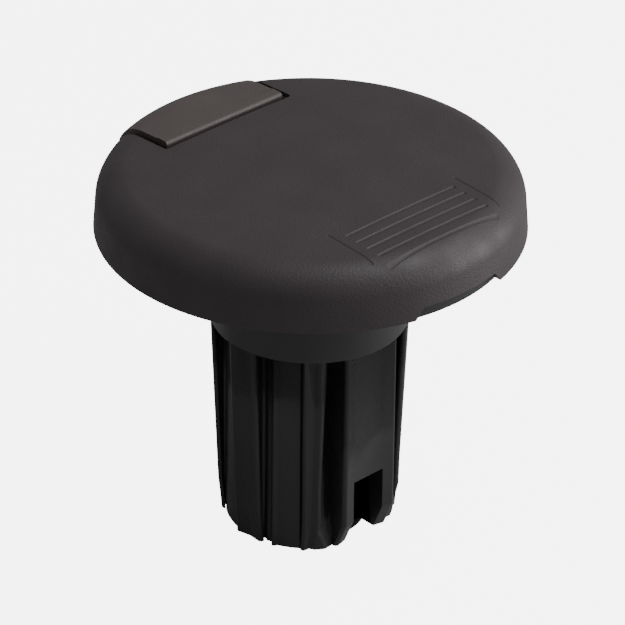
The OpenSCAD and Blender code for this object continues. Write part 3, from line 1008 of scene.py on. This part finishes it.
def thread(bm, centre, low, high, steps=20):
    """Screw thread with its core between two heights, round the upright line through centre."""
    depth = SCREW_PITCH * 0.42
    count = int((high - low) / SCREW_PITCH * steps)
    profile = ((0.0, -depth), (0.12, -depth), (0.42, 0.0), (0.58, 0.0), (0.88, -depth))
    columns = []
    for i in range(count + 1):
        a = 2 * math.pi * i / steps
        z = low + SCREW_PITCH * i / steps
        column = []
        for share, drop in profile:
            fade = min(1.0, i / steps, (count - i) / steps)
            r = SCREW_R - depth + (depth + drop) * fade
            x, y = centre.x + r * math.cos(a), centre.y + r * math.sin(a)
            column.append(bm.verts.new((x, y, z + share * SCREW_PITCH)))
        columns.append(column)
    for here, there in zip(columns, columns[1:]):
        for k in range(len(profile) - 1):
            bm.faces.new((here[k], there[k], there[k + 1], here[k + 1]))
    top = (centre.x, centre.y, high + SCREW_PITCH)
    rod(bm, (centre.x, centre.y, low), top, SCREW_R - depth + 0.01, steps, 0.1)


def pan_head(bm, centre, z, radius, height):
    """Domed screw head, without its recess."""
    outline = [(0.0, z), (radius, z), (radius, z + height * 0.45), (radius * 0.82, z + height * 0.85),
               (radius * 0.45, z + height), (0.0, z + height)]
    columns = []
    steps = 40
    for i in range(steps):
        a = 2 * math.pi * i / steps
        x, y = math.cos(a), math.sin(a)
        columns.append([bm.verts.new((centre.x + r * x, centre.y + r * y, h)) for r, h in outline])
    for i in range(steps):
        here, there = columns[i], columns[(i + 1) % steps]
        for k in range(len(outline) - 1):
            bm.faces.new((here[k], there[k], there[k + 1], here[k + 1]))


def clamp_screw(side):
    """Long clamp screw with a cross-recessed head, a plain neck and a thread."""
    centre = polar(CLAMP_AZ[side], CLAMP_R)
    head = bmesh.new()
    pan_head(head, centre, FLANGE_TOP, *SCREW_HEAD)
    obj = mesh_object("screw_" + side, head)
    cross = bmesh.new()
    reach, half, floor_h = CROSS
    bar = [Vector((-reach, -half)), Vector((reach, -half)), Vector((reach, half)), Vector((-reach, half))]
    for turn in (0, 90):
        matrix = Matrix.Translation((centre.x, centre.y, 0)) @ Matrix.Rotation(math.radians(turn), 4, "Z")
        prism(cross, bar, FLANGE_TOP + floor_h, FLANGE_TOP + 3, matrix)
    cut(obj, cross)
    shank = bmesh.new()
    shank.from_mesh(obj.data)
    bmesh.ops.scale(shank, vec=(1 / MM,) * 3, verts=shank.verts)
    thread(shank, centre, -STEM_DEPTH + SCREW_SHORT_OF_FOOT, -COLLAR_DEPTH)
    plain_low = (centre.x, centre.y, -COLLAR_DEPTH - 0.5)
    rod(shank, plain_low, (centre.x, centre.y, FLANGE_TOP), SCREW_R - 0.05, 32)
    bpy.data.objects.remove(obj)
    obj = mesh_object("screw_" + side, shank)
    return dress(obj, DARK_STEEL, "screw_" + side, "dark_steel", "clamp_screw_" + side)


# ---------- CAD nodes that keep their mesh ----------

KEPT = {
    "door_pin": (STEEL, 0.12),
    "door_bushes": (NYLON, 0.12),
    "door_buffers": (BUFFER_RUBBER, 0.2),
    "hinge_clamps": (LINER_PLASTIC, 0.2),
    "hinge_screws": (STEEL, 0.08),
    "liner_flange": (LINER_PLASTIC, 0.3),
    "grip_pads": (PAD_RUBBER, 0.15),
    "stem_screws": (STEEL, 0.1),
    "screw_clip_right": (STEEL, 0.08),
    "screw_clip_left": (STEEL, 0.08),
    "clamp_nut_right": (BRASS, 0.12),
    "clamp_nut_left": (BRASS, 0.12),
    "clamp_dog_right": (DOG_PLASTIC, 0.35),
    "clamp_dog_left": (DOG_PLASTIC, 0.35),
}


def finish_cad_node(name, material, edge_mm):
    """Welds the seams of a CAD mesh, rounds its edges and gives it its material."""
    obj = frame["nodes"][name]
    obj.data.materials.clear()
    obj.data.materials.append(material)
    weld = obj.modifiers.new("weld", "WELD")
    weld.merge_threshold = 0.002 * MM
    soften(obj, edge_mm)
    normals = obj.modifiers.new("normals", "WEIGHTED_NORMAL")
    normals.keep_sharp = True


# ---------- Stage ----------

FLOOR_COLOUR = (0.40, 0.40, 0.41)
FLOOR_GLOW = 6.0
FLOOR_HALF = 2500
FLOOR_Z = -STEM_DEPTH - 1.5
WORLD_LIGHT = 0.36
CAMERA_TARGET = Vector((0, 0, RIM_GAP * MM))
CAMERA_AZ = math.radians(-43.5)
CAMERA_EL = math.radians(29.52)
CAMERA_DISTANCE = 1.08
CAMERA_LENS = 250.6
CAMERA_SHIFT = (0.0030, -0.1442)
CAMERA_ROLL = math.radians(0.55)


def camera():
    """Long lens, above and to the left of the key."""
    data = bpy.data.cameras.new("camera")
    data.lens = CAMERA_LENS
    data.sensor_width = 36
    data.shift_x, data.shift_y = CAMERA_SHIFT
    data.clip_start, data.clip_end = 0.05, 20
    obj = bpy.data.objects.new("camera", data)
    flat = math.cos(CAMERA_EL)
    back = Vector((math.sin(CAMERA_AZ) * flat, -math.cos(CAMERA_AZ) * flat, math.sin(CAMERA_EL)))
    obj.location = CAMERA_TARGET + back * CAMERA_DISTANCE
    obj.rotation_mode = "QUATERNION"
    look = (-back).to_track_quat("-Z", "Y").to_matrix() @ Matrix.Rotation(CAMERA_ROLL, 3, "Z")
    obj.rotation_quaternion = look.to_quaternion()
    bpy.context.scene.collection.objects.link(obj)
    bpy.context.scene.camera = obj


def area_light(name, azimuth, elevation, distance, size, power):
    """Soft box that looks at the cap from a direction given like the camera's."""
    data = bpy.data.lights.new(name, "AREA")
    data.shape = "DISK"
    data.size = size
    data.energy = power
    obj = bpy.data.objects.new(name, data)
    a, e = math.radians(azimuth), math.radians(elevation)
    back = Vector((math.sin(a) * math.cos(e), -math.cos(a) * math.cos(e), math.sin(e)))
    obj.location = back * distance
    obj.rotation_mode = "QUATERNION"
    obj.rotation_quaternion = (-back).to_track_quat("-Z", "Y")
    bpy.context.scene.collection.objects.link(obj)


def floor():
    """Wide pale floor just under the foot of the stem, which glows softly in the picture."""
    bm = bmesh.new()
    bmesh.ops.create_grid(bm, x_segments=8, y_segments=8, size=FLOOR_HALF)
    bmesh.ops.translate(bm, verts=bm.verts, vec=(0, 0, FLOOR_Z))
    obj = mesh_object("floor", bm)
    n = Nodes("floor_look")
    n.link(n.shade(FLOOR_COLOUR, n.span(n.noise(300.0), 0.99, 1.01)), n.shader.inputs["Base Color"])
    n.shader.inputs["Roughness"].default_value = 0.9
    n.shader.inputs["Emission Color"].default_value = (1, 1, 1, 1)
    camera_ray = n.add("ShaderNodeLightPath").outputs["Is Camera Ray"]
    n.link(n.span(camera_ray, 0.0, FLOOR_GLOW, 0.0, 1.0), n.shader.inputs["Emission Strength"])
    obj.data.materials.append(n.material)


def world():
    """Even surround: white in the picture, dimmer as a light."""
    surround = bpy.data.worlds.new("studio")
    surround.use_nodes = True
    tree = surround.node_tree
    light_path = tree.nodes.new("ShaderNodeLightPath")
    strength = tree.nodes.new("ShaderNodeMapRange")
    strength.inputs["To Min"].default_value = WORLD_LIGHT
    strength.inputs["To Max"].default_value = FLOOR_GLOW
    tree.links.new(light_path.outputs["Is Camera Ray"], strength.inputs["Value"])
    tree.nodes["Background"].inputs["Color"].default_value = (1, 1, 1, 1)
    tree.links.new(strength.outputs["Result"], tree.nodes["Background"].inputs["Strength"])
    bpy.context.scene.world = surround


cap()
cable_door()
door_spring()
stem()
gasket()
bushes()
for side_name in ("right", "left"):
    clamp_screw(side_name)
for node_name, (look, edge_width) in KEPT.items():
    finish_cad_node(node_name, look, edge_width)
floor()
world()
camera()
area_light("key", azimuth=40, elevation=58, distance=0.9, size=0.6, power=5.5)
area_light("side", azimuth=48, elevation=7, distance=0.9, size=0.5, power=6.0)
